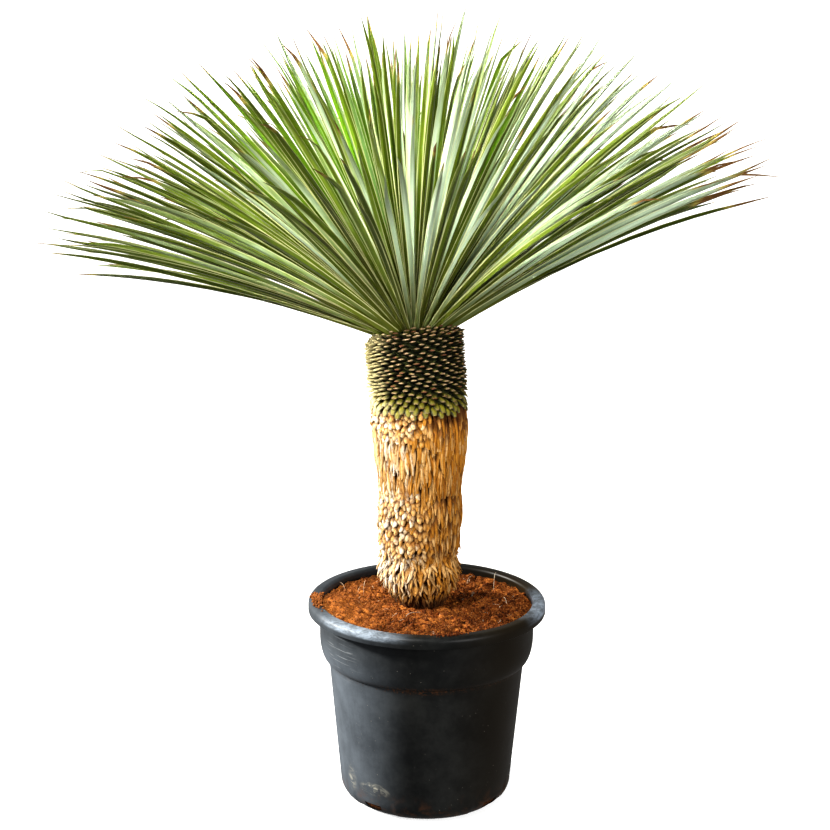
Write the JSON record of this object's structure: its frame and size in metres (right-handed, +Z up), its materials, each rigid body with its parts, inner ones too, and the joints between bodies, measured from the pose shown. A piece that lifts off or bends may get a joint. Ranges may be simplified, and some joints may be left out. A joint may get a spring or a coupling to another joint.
{
  "type": "beaked yucca in a nursery pot",
  "caption": "Beaked yucca: a straw-clad trunk with a collar of cut green leaf bases and a wide leaning head of long narrow leaves, in a round black nursery pot.",
  "frame": {"origin": "on the pot's axis, in the middle of its flat underside, on the surface it stands on", "axes": "+Z up, -Y towards the side that the picture shows, +X to the right as seen there; the head of leaves leans to +Y and a little to -X"},
  "size_m": [1.184, 1.1873, 1.3398],
  "materials": {
    "pot_plastic": "satin, scuffed and dusty",
    "coir_soil": "loose moist coir and bark crumbs",
    "dry_leaf_bases": "dry matte straw fibre",
    "green_leaf_bases": "matte, with pale dry cut ends",
    "leaf_blade": "waxy satin, paler margins and brown tips"
  },
  "bodies": {
    "root": {"pot": "pot_plastic", "soil": "coir_soil", "trunk": "dry_leaf_bases", "leaf_base_collar": "green_leaf_bases", "leaf_crown": "leaf_blade"}
  },
  "joints": []
}
